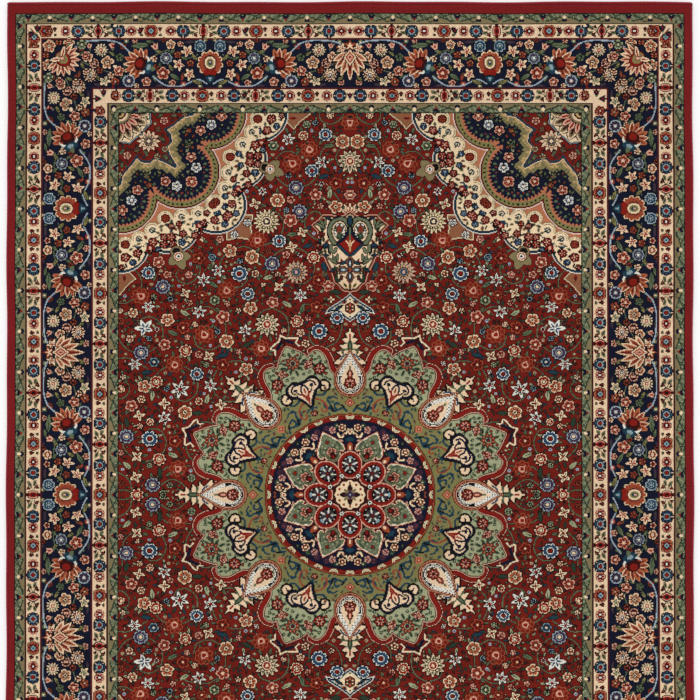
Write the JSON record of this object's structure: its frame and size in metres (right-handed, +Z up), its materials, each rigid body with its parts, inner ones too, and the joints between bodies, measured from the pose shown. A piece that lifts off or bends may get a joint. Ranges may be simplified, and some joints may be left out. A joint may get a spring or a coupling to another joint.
{
  "type": "area rug",
  "caption": "Rectangular machine-woven floor rug with cut pile, a central medallion, corner ornaments, nested border bands, serged sides and hemmed ends.",
  "frame": {"origin": "centre of the rug's underside, where it lies on the floor", "axes": "+X across the rug, +Y along its length towards the head end, +Z up out of the pile"},
  "size_m": [1.6, 2.3, 0.012],
  "materials": {
    "plain_red_pile": "plain dark-red cut pile, matt",
    "green_guard_pile": "olive and sage guard band pile with small motifs",
    "cream_guard_pile": "cream guard band pile with small flowers",
    "main_border_pile": "midnight-blue border pile with palmettes and vines",
    "corner_pile": "ivory, terracotta, navy and olive pile",
    "field_pile": "brick-red pile with small flowers and vines",
    "medallion_pile": "navy, red and cream pile",
    "lobe_pile": "sage and olive pile",
    "drop_pile": "cream and red pile",
    "pendant_pile": "cream, navy and green pile",
    "serging_yarn": "dark-red overcast yarn",
    "hem_yarn": "dark-red bound hem",
    "ground_yarn": "natural jute and cotton weave"
  },
  "bodies": {
    "root": {"ground_weave": "ground_yarn", "serging_left": "serging_yarn", "serging_right": "serging_yarn", "hem_head": "hem_yarn", "hem_foot": "hem_yarn", "plain_band_left": "plain_red_pile", "plain_band_right": "plain_red_pile", "plain_band_head": "plain_red_pile", "plain_band_foot": "plain_red_pile", "outer_green_left": "green_guard_pile", "outer_green_right": "green_guard_pile", "outer_green_head": "green_guard_pile", "outer_green_foot": "green_guard_pile", "outer_cream_left": "cream_guard_pile", "outer_cream_right": "cream_guard_pile", "outer_cream_head": "cream_guard_pile", "outer_cream_foot": "cream_guard_pile", "main_border_left": "main_border_pile", "main_border_right": "main_border_pile", "main_border_head": "main_border_pile", "main_border_foot": "main_border_pile", "inner_cream_left": "cream_guard_pile", "inner_cream_right": "cream_guard_pile", "inner_cream_head": "cream_guard_pile", "inner_cream_foot": "cream_guard_pile", "inner_green_left": "green_guard_pile", "inner_green_right": "green_guard_pile", "inner_green_head": "green_guard_pile", "inner_green_foot": "green_guard_pile", "corner_head_left": "corner_pile", "corner_head_right": "corner_pile", "corner_foot_left": "corner_pile", "corner_foot_right": "corner_pile", "field_head_left": "field_pile", "field_head_right": "field_pile", "field_foot_left": "field_pile", "field_foot_right": "field_pile", "medallion_rosette": "medallion_pile", "medallion_disc": "medallion_pile", "medallion_lobe_1": "lobe_pile", "medallion_lobe_2": "lobe_pile", "medallion_lobe_3": "lobe_pile", "medallion_lobe_4": "lobe_pile", "medallion_lobe_5": "lobe_pile", "medallion_lobe_6": "lobe_pile", "medallion_lobe_7": "lobe_pile", "medallion_lobe_8": "lobe_pile", "medallion_drop_1": "drop_pile", "medallion_drop_2": "drop_pile", "medallion_drop_3": "drop_pile", "medallion_drop_4": "drop_pile", "medallion_drop_5": "drop_pile", "medallion_drop_6": "drop_pile", "medallion_drop_7": "drop_pile", "medallion_drop_8": "drop_pile", "pendant_head": "pendant_pile", "pendant_foot": "pendant_pile", "diamond_head": "pendant_pile", "diamond_foot": "pendant_pile"}
  },
  "joints": []
}
